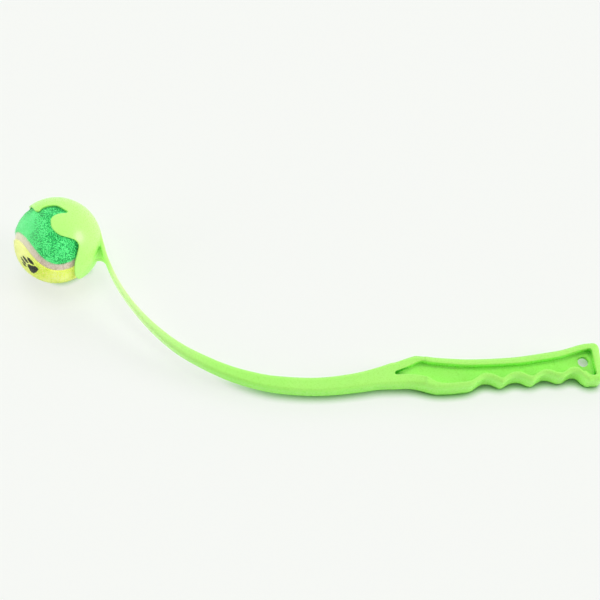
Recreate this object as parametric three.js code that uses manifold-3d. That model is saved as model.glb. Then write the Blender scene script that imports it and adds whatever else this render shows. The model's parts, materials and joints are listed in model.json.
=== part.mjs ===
// Dog ball thrower lying on its side, with its ball snapped into the cup.
// The thrower is drawn in its own middle plane: the origin is the centre of the cup, +X runs to the butt of
// the handle, +Y to the back of the hand and +Z across the width. One turn at the end lays it on the table.
// All sizes are in millimetres.
import * as THREE from "three";
import { mergeVertices } from "three/addons/utils/BufferGeometryUtils.js";
import Module from "manifold-3d";

const wasm = await Module();
wasm.setup();

// Overall sizes
const overallLength = 451.5; // from the far side of a centred ball to the butt
const ballDiameter = 64.5;
const bowDepth = 123.3; // the strap's centre line at its lowest, below the centre of the cup
const handleDrop = 127.4; // the belly of the handle, below the centre of the cup

// Ball cup
const cupClearance = 0.9;
const cupWall = 1.7;
const seatGap = 2.05; // left between the ball and the back of the cup
const mouthAngle = 35; // how far the mouth looks down the belly side, in degrees

// Strap
const neckAngle = 17; // where the strap leaves the cup, in degrees from +X
const rootAngle = 14; // how much further its root reaches round the cup, in degrees
const rootSink = 0.6; // how deep the root's outer face lies under the cup's surface
const neckDepth = 3.5;
const neckWidth = 9.5;
const strapDepth = 11.5;
const strapWidth = 12.5;
const strapRound = 2.6;
const strapRoundShare = 0.36; // the most that an edge radius may take of the strap's depth
const gussetWidth = 4.2;
const gussetRound = 6.1;

// Handle
const handleLength = 156;
const handleDepth = 24.7;
const handleWidth = 17.5;
const handleRound = 3.2;
const buttRound = 4.5;
const buttEdgeShare = 0.35; // edge radius left at the butt's face, as a share of the handle's edge radius
const buttLean = 1.3; // how far the belly side of the butt stands past the back side
const webThickness = 4;
const backWall = 5.6;
const bellyWall = 4.1;
const pocketTipRound = 1.1;
const pocketEndRound = 1.9;
const pocketLean = 1.9; // how far the belly side of the pocket's end stands past its back side
const hangHoleDiameter = 8;

// Ball
const feltThickness = 3;
const coreWall = 3.3;
const seamWidth = 5.5;
const seamRecess = 0.6;
const seamSwing = 51.6; // how far the seam swings to each side of its middle circle, in degrees
const seamDrift = 16.7; // how far it runs ahead of an even turn and behind it, in degrees
const pieceGap = 0.3; // left between glued pieces

// How far a cut runs past what it cuts, and how far a cone reaches in radii of the ball it cuts
const overrun = 2;
const coneReachShare = 6;

// Facets
const cupSides = 36;
const ballSides = 28;
const holeSides = 20;
const strapSteps = 40;
const handleSteps = 76;
const pocketSteps = 60;
const roundSteps = 3;
const rimSteps = 80;
const seamSteps = 80;

const ballRadius = ballDiameter / 2;
const cupInnerRadius = ballRadius + cupClearance;
const cupOuterRadius = cupInnerRadius + cupWall;
const reach = overallLength - ballRadius;
const handleStart = reach - handleLength;

// Mouth of the cup: each row is the angle round the mouth from the top claw, and the angle away from the
// mouth's axis, in degrees. The row is mirrored for the other side.
const mouthRimAngles = [
  [0, 82.9],
  [20, 82.9],
  [45, 82.9],
  [60, 82.6],
  [75, 82],
  [88, 84],
  [91.5, 90.3],
  [93, 88.5],
  [99.3, 87.1],
  [106.7, 87.7],
  [113.7, 90.6],
  [118.6, 95],
  [123.5, 99.6],
  [129.1, 104],
  [137.8, 105.4],
  [143.2, 101.5],
  [149.1, 96.1],
  [155.7, 90.8],
  [164.1, 86.7],
  [171.4, 84.8],
  [180, 83.6],
];

// Hooked slit between the top claw and a side claw, in the same two angles, as a closed loop
const slitRimAngles = [
  [58, 80],
  [64, 83.6],
  [66, 86.4],
  [64.2, 90.7],
  [64.4, 96.2],
  [66.4, 102.6],
  [70.8, 109.6],
  [77, 113.1],
  [83, 115.3],
  [88, 117.4],
  [89.8, 115.6],
  [88, 109],
  [86.6, 102],
  [87.2, 95.5],
  [90.4, 91],
  [96, 87.6],
  [92, 80],
];
const slitMiddleAngles = [77, 99];

// Strap, from the cup to the handle: share of the run along X, share of the fall to the bow,
// share of the growth from neck depth to strap depth, share of the growth from neck width to strap width
const strapShares = [
  [0.014, 0.081, 0, 0.02],
  [0.039, 0.21, 0.02, 0.06],
  [0.084, 0.369, 0.05, 0.1],
  [0.143, 0.515, 0.11, 0.17],
  [0.212, 0.646, 0.3, 0.23],
  [0.29, 0.76, 0.5, 0.37],
  [0.378, 0.85, 0.64, 0.5],
  [0.473, 0.924, 0.77, 0.67],
  [0.573, 0.974, 0.89, 0.83],
  [0.651, 0.993, 0.97, 0.91],
  [0.725, 1, 1, 0.98],
  [0.782, 0.997, 1.05, 1.01],
  [0.839, 0.986, 1.11, 1.03],
  [0.893, 0.971, 1.21, 1.06],
  [0.944, 0.952, 1.4, 1.08],
];

// Handle edges, from the strap to the butt: share of the handle's length, share of its depth above its belly
const backShares = [
  [0, 0.901],
  [0.053, 1.022],
  [0.078, 1.072],
  [0.102, 1.109],
  [0.126, 1.092],
  [0.15, 1.069],
  [0.197, 1.025],
  [0.269, 0.992],
  [0.342, 0.97],
  [0.414, 0.975],
  [0.511, 1.002],
  [0.608, 1.055],
  [0.706, 1.153],
  [0.804, 1.259],
  [0.854, 1.346],
  [0.903, 1.442],
  [0.928, 1.479],
  [0.957, 1.5],
  [1, 1.515],
];
const bellyShares = [
  [0, 0.142],
  [0.03, 0.15],
  [0.065, 0.155],
  [0.09, 0.146],
  [0.114, 0.121],
  [0.151, 0.068],
  [0.174, 0.032],
  [0.195, -0.002],
  [0.223, -0.004],
  [0.271, 0.009],
  [0.32, 0.042],
  [0.352, 0.069],
  [0.369, 0.104],
  [0.394, 0.212],
  [0.42, 0.31],
  [0.444, 0.335],
  [0.468, 0.31],
  [0.491, 0.245],
  [0.515, 0.189],
  [0.541, 0.291],
  [0.566, 0.363],
  [0.59, 0.383],
  [0.614, 0.356],
  [0.638, 0.281],
  [0.662, 0.255],
  [0.687, 0.356],
  [0.712, 0.442],
  [0.737, 0.451],
  [0.761, 0.409],
  [0.784, 0.356],
  [0.808, 0.36],
  [0.834, 0.468],
  [0.86, 0.528],
  [0.883, 0.498],
  [0.905, 0.363],
  [0.928, 0.255],
  [0.953, 0.264],
  [1, 0.262],
];

// Handle width, as a share of its full width, and the walls on both sides of the pocket, as shares of the
// back wall and the belly wall
const handleWidthShares = [
  [0, 0.735],
  [0.05, 0.745],
  [0.1, 0.8],
  [0.149, 0.92],
  [0.188, 1],
  [1, 1],
];
const backWallShares = [
  [0, 1.42],
  [0.055, 1.41],
  [0.09, 1.34],
  [0.116, 1.1],
  [0.131, 0.93],
  [0.15, 0.95],
  [0.17, 1],
  [0.22, 1.01],
  [0.33, 1.08],
  [0.512, 1.12],
  [0.659, 1.2],
  [0.807, 1.18],
  [0.93, 1.07],
  [1, 0.97],
];
const bellyWallShares = [
  [0, 2.03],
  [0.13, 1.98],
  [0.158, 1.85],
  [0.19, 1.42],
  [0.21, 1.2],
  [0.3, 0.96],
  [0.86, 1],
  [0.89, 1.4],
  [0.917, 1.54],
  [0.936, 1.2],
  [0.955, 0.98],
  [1, 1],
];
const pocketEndShare = 0.966;
const hangHoleShares = [0.916, 0.959];
const restShares = [0.25, 0.935]; // the two crests of the belly that touch the table

const radians = THREE.MathUtils.degToRad;
const across = new THREE.Vector3(0, 0, 1);
const mouthAxis = new THREE.Vector3(-Math.cos(radians(mouthAngle)), -Math.sin(radians(mouthAngle)), 0);
const topClawWay = new THREE.Vector3().crossVectors(mouthAxis, across);

// Closed body from a geometry whose shared corners are merged
function solidOf(geometry) {
  geometry.deleteAttribute("normal");
  geometry.deleteAttribute("uv");
  const merged = mergeVertices(geometry);
  const vertProperties = new Float32Array(merged.attributes.position.array);
  const triVerts = new Uint32Array(merged.index.array);
  return new wasm.Manifold(new wasm.Mesh({ numProp: 3, vertProperties, triVerts }));
}

function geometryOf(solid) {
  const { vertProperties, triVerts } = solid.getMesh();
  const geometry = new THREE.BufferGeometry();
  geometry.setAttribute("position", new THREE.BufferAttribute(vertProperties, 3));
  geometry.setIndex(new THREE.BufferAttribute(triVerts, 1));
  return geometry;
}

function geometryFrom(points, faces) {
  const geometry = new THREE.BufferGeometry().setFromPoints(points);
  geometry.setIndex(faces);
  return geometry;
}

// Smooth curve through rows of two or three numbers
function smoothRows(rows) {
  const points = rows.map(([x, y, z = 0]) => new THREE.Vector3(x, y, z));
  return new THREE.CatmullRomCurve3(points, false, "catmullrom");
}

// Smooth table: the second number of a row, read at any first number
function smoothTable(rows) {
  const curve = smoothRows(rows);
  const samples = curve.getPoints(rows.length * strapSteps);
  return (x) => {
    const next = samples.findIndex((point) => point.x >= x);
    if (next < 1) return next < 0 ? samples.at(-1).y : samples[0].y;
    const [low, high] = [samples[next - 1], samples[next]];
    return THREE.MathUtils.mapLinear(x, low.x, high.x, low.y, high.y);
  };
}

// Side edges and width of the handle at a share of its length
const backTable = smoothTable(backShares);
const bellyTable = smoothTable(bellyShares);
const handleWidthTable = smoothTable(handleWidthShares);
const backWallTable = smoothTable(backWallShares);
const bellyWallTable = smoothTable(bellyWallShares);
const backHeight = (share) => handleDepth * backTable(share) - handleDrop;
const bellyHeight = (share) => handleDepth * bellyTable(share) - handleDrop;
const alongHandle = (share) => handleStart + share * handleLength;

function polar(angle, radius) {
  return new THREE.Vector3(Math.cos(radians(angle)) * radius, Math.sin(radians(angle)) * radius, 0);
}

// Ribs of the strap: centre, way up, half depth, half width and edge radius
function strapRibs() {
  const neck = polar(neckAngle, cupOuterRadius - neckDepth / 2);
  const root = polar(neckAngle + rootAngle, cupOuterRadius - neckDepth / 2 - rootSink);
  const end = new THREE.Vector3(handleStart, (backHeight(0) + bellyHeight(0)) / 2, 0);
  const run = end.x - neck.x;
  const fall = bowDepth + neck.y;
  const places = strapShares.map(([x, y]) => new THREE.Vector3(neck.x + x * run, neck.y - y * fall, 0));
  const spine = new THREE.CatmullRomCurve3([root, neck, ...places, end], false, "catmullrom");
  const grow = (low, high, share) => low + share * (high - low);
  const sizes = strapShares.map(([, , depth, width]) => [
    grow(neckDepth, strapDepth, depth),
    grow(neckWidth, strapWidth, width),
  ]);
  const neckSize = [neckDepth, neckWidth];
  const endSize = [backHeight(0) - bellyHeight(0), handleWidth * handleWidthTable(0)];
  const sizeCurve = smoothRows([neckSize, neckSize, ...sizes, endSize]);
  const ribs = [];
  for (let i = 0; i < strapSteps; i++) {
    const share = i / strapSteps;
    const centre = spine.getPoint(share);
    const way = spine.getTangent(share);
    const size = sizeCurve.getPoint(share);
    const up = new THREE.Vector3(-way.y, way.x, 0);
    const round = Math.min(strapRound, size.x * strapRoundShare);
    ribs.push({ centre, up, halfDepth: size.x / 2, halfWidth: size.y / 2, round });
  }
  return ribs;
}

// One rib of the handle, drawn in by a share of the butt's rounding
function handleRib(share, drawnIn) {
  const back = new THREE.Vector3(alongHandle(share) - share * buttLean, backHeight(share), 0);
  const belly = new THREE.Vector3(alongHandle(share), bellyHeight(share), 0);
  const up = back.clone().sub(belly);
  const halfDepth = up.length() / 2 - drawnIn * buttRound;
  const halfWidth = (handleWidth * handleWidthTable(share)) / 2 - drawnIn * handleRound;
  const centre = back.add(belly).divideScalar(2);
  const round = handleRound * THREE.MathUtils.lerp(1, buttEdgeShare, drawnIn);
  return { centre, up: up.normalize(), halfDepth, halfWidth, round };
}

function handleRibs() {
  const roundStart = 1 - buttRound / handleLength;
  const ribs = [];
  for (let i = 0; i < handleSteps; i++) ribs.push(handleRib((i / handleSteps) * roundStart, 0));
  for (let i = 0; i <= roundSteps; i++) {
    const turn = (i / roundSteps) * (Math.PI / 2);
    ribs.push(handleRib(THREE.MathUtils.lerp(roundStart, 1, Math.sin(turn)), 1 - Math.cos(turn)));
  }
  return ribs;
}

// Rounded rectangle round a rib
function ribRing({ centre, up, halfDepth, halfWidth, round }) {
  const ring = [];
  for (let corner = 0; corner < 4; corner++) {
    const upSide = corner === 0 || corner === 3 ? 1 : -1;
    const wideSide = corner < 2 ? 1 : -1;
    for (let i = 0; i <= roundSteps; i++) {
      const turn = (corner + i / roundSteps) * (Math.PI / 2);
      const height = upSide * (halfDepth - round) + round * Math.cos(turn);
      const width = wideSide * (halfWidth - round) + round * Math.sin(turn);
      ring.push(centre.clone().addScaledVector(up, height).addScaledVector(across, width));
    }
  }
  return ring;
}

function loft(ribs) {
  const rings = ribs.map(ribRing);
  const sides = rings[0].length;
  const last = (rings.length - 1) * sides;
  const faces = [];
  for (let start = 0; start < last; start += sides) {
    for (let i = 0; i < sides; i++) {
      const here = start + i;
      const beside = start + ((i + 1) % sides);
      faces.push(here, beside, beside + sides, here, beside + sides, here + sides);
    }
  }
  for (let i = 1; i + 1 < sides; i++) {
    faces.push(0, i + 1, i);
    faces.push(last, last + i, last + i + 1);
  }
  return geometryFrom(rings.flat(), faces);
}

// Plate between the strap and the back of the cup, ending in a round that touches both
function gusset(ribs) {
  const innerFace = (rib) => rib.centre.clone().addScaledVector(rib.up, -rib.halfDepth);
  const roundCentre = (rib) => innerFace(rib).addScaledVector(rib.up, -gussetRound);
  const reachOf = (rib) => roundCentre(rib).length() - cupOuterRadius - gussetRound;
  const next = ribs.findIndex((rib, i) => i > 0 && reachOf(ribs[i - 1]) < 0 && reachOf(rib) >= 0);
  const share = reachOf(ribs[next - 1]) / (reachOf(ribs[next - 1]) - reachOf(ribs[next]));
  const centre = roundCentre(ribs[next - 1]).lerp(roundCentre(ribs[next]), share);
  const up = ribs[next - 1].up.clone().lerp(ribs[next].up, share);
  const cupTurn = Math.atan2(-centre.y, -centre.x);
  const strapTurn = Math.atan2(up.y, up.x);
  const shape = new THREE.Shape();
  shape.absarc(centre.x, centre.y, gussetRound, strapTurn, cupTurn, false);
  const inWall = centre.clone().setLength(cupOuterRadius - cupWall / 2);
  shape.lineTo(inWall.x, inWall.y);
  const top = ribs.findIndex((rib) => rib.centre.y < polar(neckAngle, cupOuterRadius).y);
  for (let i = top; i < next; i++) shape.lineTo(ribs[i].centre.x, ribs[i].centre.y);
  const plate = new THREE.ExtrudeGeometry(shape, { depth: gussetWidth, bevelEnabled: false });
  return plate.translate(0, 0, -gussetWidth / 2);
}

// Cone from the centre of a sphere through a closed loop of directions, well past the sphere
function coneThrough(loop, middle, radius) {
  const far = radius * coneReachShare;
  const points = [new THREE.Vector3(), middle.clone().setLength(far)];
  const faces = [];
  loop.forEach((way, i) => {
    const here = 2 + i;
    const beside = 2 + ((i + 1) % loop.length);
    points.push(way.clone().setLength(far));
    faces.push(0, beside, here, 1, here, beside);
  });
  return solidOf(geometryFrom(points, faces));
}

function roundMouth([around, away], side) {
  const spread = new THREE.Vector3().addScaledVector(topClawWay, Math.cos(radians(around)));
  spread.addScaledVector(across, Math.sin(radians(around)) * side);
  return new THREE.Vector3()
    .addScaledVector(mouthAxis, Math.cos(radians(away)))
    .addScaledVector(spread, Math.sin(radians(away)));
}

function smoothLoop(ways) {
  return new THREE.CatmullRomCurve3(ways, true, "centripetal").getPoints(rimSteps).slice(0, -1);
}

function sphere(radius, sides) {
  const ball = new THREE.SphereGeometry(radius, sides, sides / 2);
  ball.applyQuaternion(new THREE.Quaternion().setFromUnitVectors(new THREE.Vector3(0, 1, 0), mouthAxis));
  return solidOf(ball);
}

// Ball-shaped space: none of its flat facets cuts inside the radius
function ballSpace(radius, sides) {
  return sphere(radius / Math.cos(Math.PI / sides) ** 2, sides);
}

function cutMouth(solid) {
  const oneSide = mouthRimAngles.map((row) => roundMouth(row, 1));
  const otherSide = mouthRimAngles.slice(1, -1).map((row) => roundMouth(row, -1));
  const mouth = coneThrough(smoothLoop([...otherSide, ...oneSide.reverse()]), mouthAxis, cupOuterRadius);
  let cup = solid.subtract(mouth);
  for (const side of [1, -1]) {
    const ways = slitRimAngles.map((row) => roundMouth(row, side));
    if (side > 0) ways.reverse();
    cup = cup.subtract(coneThrough(smoothLoop(ways), roundMouth(slitMiddleAngles, side), cupOuterRadius));
  }
  return cup;
}

// Pocket outline, kept a wall's width inside the handle, with rounded corners at both ends
function pocketShape() {
  const length = pocketEndShare * handleLength;
  const rounding = (inward, round) => round - Math.sqrt(round ** 2 - Math.max(0, round - inward) ** 2);
  const top = [];
  const bottom = [];
  for (let i = 0; i <= pocketSteps; i++) {
    const share = (i / pocketSteps) * pocketEndShare;
    const along = share * handleLength;
    const drawnIn = rounding(along, pocketTipRound) + rounding(length - along, pocketEndRound);
    const x = alongHandle(share);
    const high = backHeight(share) - backWall * backWallTable(share) - drawnIn;
    const low = bellyHeight(share) + bellyWall * bellyWallTable(share) + drawnIn;
    top.push(new THREE.Vector2(x - share * pocketLean, high));
    bottom.push(new THREE.Vector2(x, low));
  }
  return new THREE.Shape([...bottom, ...top.reverse()]);
}

function cutHandle(solid) {
  const depth = handleWidth / 2 + overrun;
  const pocket = solidOf(new THREE.ExtrudeGeometry(pocketShape(), { depth, bevelEnabled: false }));
  const above = pocket.translate([0, 0, webThickness / 2]);
  const below = pocket.translate([0, 0, -webThickness / 2 - depth]);
  const hole = new THREE.CylinderGeometry(
    hangHoleDiameter / 2,
    hangHoleDiameter / 2,
    webThickness + overrun,
    holeSides,
  );
  hole.rotateX(Math.PI / 2);
  hole.translate(alongHandle(hangHoleShares[0]), handleDepth * hangHoleShares[1] - handleDrop, 0);
  return solid.subtract(above).subtract(below).subtract(solidOf(hole));
}

function thrower() {
  const ribs = [...strapRibs(), ...handleRibs()];
  const arm = cutHandle(solidOf(loft(ribs)));
  const cup = cutMouth(sphere(cupOuterRadius, cupSides));
  return geometryOf(cup.add(arm).add(solidOf(gusset(ribs))).subtract(ballSpace(cupInnerRadius, cupSides)));
}

// Seam of the ball: one closed wave on the unit sphere that parts it into two equal dumb-bell panels
function seamPoint(turn) {
  const rise = radians(seamSwing) * Math.sin(2 * turn);
  const along = turn - radians(seamDrift) * Math.sin(4 * turn);
  const level = Math.cos(rise);
  return new THREE.Vector3(level * Math.cos(along), level * Math.sin(along), Math.sin(rise));
}

// Loop beside the seam, a distance to one side of its middle, as directions
function besideSeam(distance) {
  const step = (2 * Math.PI) / seamSteps;
  const loop = [];
  for (let i = 0; i < seamSteps; i++) {
    const here = seamPoint(i * step);
    const way = seamPoint((i + 0.5) * step).sub(seamPoint((i - 0.5) * step));
    const sideways = here.clone().cross(way).normalize();
    const angle = distance / ballRadius;
    loop.push(here.multiplyScalar(Math.cos(angle)).addScaledVector(sideways, Math.sin(angle)));
  }
  return loop;
}

const coreRadius = ballRadius - feltThickness - pieceGap;

// Felt panel on one side of the seam
function feltPanel(side) {
  const loop = besideSeam(side * (seamWidth / 2 + pieceGap));
  if (side < 0) loop.reverse();
  const cone = coneThrough(loop, new THREE.Vector3(0, 0, side), ballRadius);
  const cover = sphere(ballRadius, ballSides).subtract(ballSpace(ballRadius - feltThickness, ballSides));
  return geometryOf(cover.intersect(cone));
}

// Rubber strip laid in the seam, a little below the felt
function ballSeam() {
  const edges = [besideSeam(seamWidth / 2), besideSeam(-seamWidth / 2)];
  const radii = [ballRadius - feltThickness, ballRadius - seamRecess];
  const corners = [edges[0], edges[1], edges[1], edges[0]];
  const points = [];
  const faces = [];
  for (let i = 0; i < seamSteps; i++) {
    corners.forEach((edge, k) => points.push(edge[i].clone().setLength(radii[k < 2 ? 0 : 1])));
    for (let k = 0; k < 4; k++) {
      const here = 4 * i + k;
      const beside = 4 * i + ((k + 1) % 4);
      const next = (4 * (i + 1)) % (4 * seamSteps);
      faces.push(here, next + k, next + ((k + 1) % 4), here, next + ((k + 1) % 4), beside);
    }
  }
  return geometryFrom(points, faces);
}

// Half of the hollow rubber core, glued to the other half round its rim
function coreHalf(side) {
  const profile = [];
  const steps = ballSides / 4;
  const outer = coreRadius;
  const inner = coreRadius - coreWall;
  const rimTurn = Math.asin(pieceGap / 2 / outer);
  for (let i = 0; i <= steps; i++) {
    const turn = THREE.MathUtils.lerp(Math.PI / 2, rimTurn, i / steps);
    profile.push(new THREE.Vector2(outer * Math.cos(turn), outer * Math.sin(turn)));
  }
  const innerTurn = Math.asin(pieceGap / 2 / inner);
  for (let i = 0; i <= steps; i++) {
    const turn = THREE.MathUtils.lerp(innerTurn, Math.PI / 2, i / steps);
    profile.push(new THREE.Vector2(inner * Math.cos(turn), inner * Math.sin(turn)));
  }
  const bowl = new THREE.LatheGeometry(profile.reverse(), ballSides);
  return bowl.rotateX((side * Math.PI) / 2);
}

function material(colour, roughness) {
  return new THREE.MeshStandardMaterial({ color: colour, roughness, metalness: 0 });
}

function piece(name, geometry, finish) {
  const mesh = new THREE.Mesh(geometry, finish);
  mesh.name = name;
  return mesh;
}

const limePlastic = material(0xb0fd79, 0.35);
const greenFelt = material(0x3fd078, 0.95);
const yellowFelt = material(0xe6fa5e, 0.95);
const seamRubber = material(0xcdbea5, 0.7);
const coreRubber = material(0x4a4a46, 0.8);

// Way up of the table in the thrower's own plane: the plane that the cup and two crests of the belly touch
function restUp() {
  const crest = (share) =>
    new THREE.Vector3(alongHandle(share), bellyHeight(share) + handleRound, handleRound - handleWidth / 2);
  const [front, rear] = restShares.map(crest);
  const along = rear.clone().sub(front).normalize();
  const toFront = front.clone().addScaledVector(along, -front.dot(along));
  const drop = (handleRound - cupOuterRadius) / toFront.length();
  const level = toFront.clone().normalize();
  const rise = new THREE.Vector3().crossVectors(along, level);
  const tilt = Math.sqrt(1 - drop ** 2) * Math.sign(rise.z);
  return level.multiplyScalar(drop).addScaledVector(rise, tilt);
}

const upOfTable = restUp();

// The ball rolls out of the mouth level with the table, and sits back against the cup
const releaseAxis = mouthAxis.clone().addScaledVector(upOfTable, -mouthAxis.dot(upOfTable)).normalize();
const ball = new THREE.Group();
ball.position.copy(releaseAxis).multiplyScalar(seatGap - cupClearance);

// Turn of the ball's seam in the cup, as the directions of its own X and Z axes
const seamZ = new THREE.Vector3(0.7126, -0.6266, -0.3156).normalize();
const seamX = new THREE.Vector3(-0.6169, -0.3453, -0.7072);
const seamY = new THREE.Vector3().crossVectors(seamZ, seamX).normalize();
seamX.crossVectors(seamY, seamZ);
ball.setRotationFromMatrix(new THREE.Matrix4().makeBasis(seamX, seamY, seamZ));

ball.add(piece("ball_core_half_green", coreHalf(-1), coreRubber));
ball.add(piece("ball_core_half_yellow", coreHalf(1), coreRubber));
ball.add(piece("felt_panel_green", feltPanel(-1), greenFelt));
ball.add(piece("felt_panel_yellow", feltPanel(1), yellowFelt));
ball.add(piece("ball_seam", ballSeam(), seamRubber));

const assembly = new THREE.Group();
assembly.add(piece("thrower", thrower(), limePlastic), ball);
assembly.quaternion.setFromUnitVectors(upOfTable, across);

// Origin on the table under the middle of the whole thing
const part = new THREE.Group();
part.add(assembly);
const bounds = new THREE.Box3().setFromObject(part, true);
const middle = bounds.getCenter(new THREE.Vector3());
assembly.position.set(-middle.x, -middle.y, -bounds.min.z);

export default part;
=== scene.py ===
"""Dog ball thrower on a pale table, lying on its side with its ball snapped into the cup.

The thrower is drawn in its own middle plane, in millimetres: the origin is the centre of the cup, +X runs to
the butt of the handle, +Y to the back of the hand and +Z across the width. The ball is drawn on its own axes.
"""
import json
import math

import bmesh
import bpy
import numpy as np
from mathutils import Matrix, Vector, kdtree, noise


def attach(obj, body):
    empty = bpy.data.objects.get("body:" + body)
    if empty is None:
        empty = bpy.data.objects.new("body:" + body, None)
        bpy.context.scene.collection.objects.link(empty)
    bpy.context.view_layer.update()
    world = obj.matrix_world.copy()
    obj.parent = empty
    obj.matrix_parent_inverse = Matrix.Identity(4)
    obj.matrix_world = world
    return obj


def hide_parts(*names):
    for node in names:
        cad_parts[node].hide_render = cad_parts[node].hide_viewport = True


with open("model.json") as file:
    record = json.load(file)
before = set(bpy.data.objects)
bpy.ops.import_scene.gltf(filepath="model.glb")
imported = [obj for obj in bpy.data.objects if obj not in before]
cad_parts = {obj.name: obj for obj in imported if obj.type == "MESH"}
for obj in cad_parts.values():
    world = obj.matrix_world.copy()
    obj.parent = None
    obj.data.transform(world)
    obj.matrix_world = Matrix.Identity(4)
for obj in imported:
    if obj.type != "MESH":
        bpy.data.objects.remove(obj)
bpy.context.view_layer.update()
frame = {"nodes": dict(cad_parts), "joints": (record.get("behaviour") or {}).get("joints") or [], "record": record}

MM = 0.001

# Overall sizes
OVERALL_LENGTH = 451.5
BALL_DIAMETER = 64.5
BOW_DEPTH = 123.3
HANDLE_DROP = 127.4

# Ball cup
CUP_CLEARANCE = 0.9
CUP_WALL = 1.7
SEAT_GAP = 2.05
MOUTH_ANGLE = 35

# Strap
NECK_ANGLE = 17
ROOT_ANGLE = 14
ROOT_SINK = 0.6
NECK_DEPTH = 3.5
NECK_WIDTH = 9.5
STRAP_DEPTH = 11.5
STRAP_WIDTH = 12.5
STRAP_ROUND = 2.6
STRAP_ROUND_SHARE = 0.36
GUSSET_WIDTH = 4.2
GUSSET_ROUND = 6.1

# Handle
HANDLE_LENGTH = 156
HANDLE_DEPTH = 24.7
HANDLE_WIDTH = 17.5
HANDLE_ROUND = 3.2
BUTT_ROUND = 4.5
BUTT_EDGE_SHARE = 0.35
BUTT_LEAN = 1.3
WEB_THICKNESS = 4
BACK_WALL = 5.6
BELLY_WALL = 4.1
POCKET_TIP_ROUND = 1.1
POCKET_END_ROUND = 1.9
POCKET_LEAN = 1.9
HOLE_DIAMETER = 8

# Ball
FELT_THICKNESS = 3
SEAM_WIDTH = 5.5
SEAM_RECESS = 0.6
FELT_GAP = 0.3
FELT_EDGE_ROUND = 1.3
SEAM_SWING = 51.6
SEAM_DRIFT = 16.7
SEAM_Z = Vector((0.7126, -0.6266, -0.3156))
SEAM_X = Vector((-0.6169, -0.3453, -0.7072))

BALL_RADIUS = BALL_DIAMETER / 2
CUP_INNER = BALL_RADIUS + CUP_CLEARANCE
CUP_OUTER = CUP_INNER + CUP_WALL
REACH = OVERALL_LENGTH - BALL_RADIUS
HANDLE_START = REACH - HANDLE_LENGTH

# How fine the moulded body is meshed, how often its skin is relaxed, and how far a cut runs past a face
SKIN_STEP = 0.45
SKIN_RELAX = 5
OVERRUN = 2
STRAP_STEPS = 260
HANDLE_STEPS = 420
BUTT_STEPS = 10
EDGE_STEPS = 8
POCKET_STEPS = 300
POCKET_CORNER_STEPS = 8
HOLE_SIDES = 48
CUP_SIDES = 192
RIM_STEPS = 240

# How fine the ball is meshed
SEAM_STEPS = 720
SEAM_FINE_STEPS = 3000
SEAM_ACROSS = 10
FELT_SUBDIVISIONS = 7

# Surface of the felt and of the seam: height, size and seed of their lumps
FELT_LUMPS = [(0.16, 0.9, 3), (0.12, 2.6, 9)]
SEAM_CROWN = 0.25
SEAM_GRAIN_HEIGHT = 0.07
SEAM_GRAIN_SIZE = 1.1
SEAM_GRAIN_SEED = 21

# Loose fibres of each felt panel: how many, their sizes, and how much more they rise in the open mouth
NAP_COUNT = 15000
NAP_LENGTH = (0.9, 2.0)
NAP_RISE = (0.1, 0.3)
NAP_RISE_IN_MOUTH = 0.5
NAP_HALF_WIDTH = (0.035, 0.06)
NAP_CURL = 0.35
OPEN_MOUTH_ANGLE = 84
OPEN_MOUTH_FADE = 10

# Mouth of the cup: angle round the mouth from the top claw, and angle away from the mouth's axis
MOUTH_RIM = [
    (0, 82.9), (20, 82.9), (45, 82.9), (60, 82.6), (75, 82), (88, 84), (91.5, 90.3), (93, 88.5),
    (99.3, 87.1), (106.7, 87.7), (113.7, 90.6), (118.6, 95), (123.5, 99.6), (129.1, 104), (137.8, 105.4),
    (143.2, 101.5), (149.1, 96.1), (155.7, 90.8), (164.1, 86.7), (171.4, 84.8), (180, 83.6),
]

# Hooked slit between the top claw and a side claw, in the same two angles
SLIT_RIM = [
    (58, 80), (64, 83.6), (66, 86.4), (64.2, 90.7), (64.4, 96.2), (66.4, 102.6), (70.8, 109.6),
    (77, 113.1), (83, 115.3), (88, 117.4), (89.8, 115.6), (88, 109), (86.6, 102), (87.2, 95.5),
    (90.4, 91), (96, 87.6), (92, 80),
]
SLIT_MIDDLE = (77, 99)

# Strap: share of the run, of the fall, of the growth in depth and of the growth in width
STRAP_SHARES = [
    (0.014, 0.081, 0, 0.02), (0.039, 0.21, 0.02, 0.06), (0.084, 0.369, 0.05, 0.1), (0.143, 0.515, 0.11, 0.17),
    (0.212, 0.646, 0.3, 0.23), (0.29, 0.76, 0.5, 0.37), (0.378, 0.85, 0.64, 0.5), (0.473, 0.924, 0.77, 0.67),
    (0.573, 0.974, 0.89, 0.83), (0.651, 0.993, 0.97, 0.91), (0.725, 1, 1, 0.98), (0.782, 0.997, 1.05, 1.01),
    (0.839, 0.986, 1.11, 1.03), (0.893, 0.971, 1.21, 1.06), (0.944, 0.952, 1.4, 1.08),
]

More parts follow.
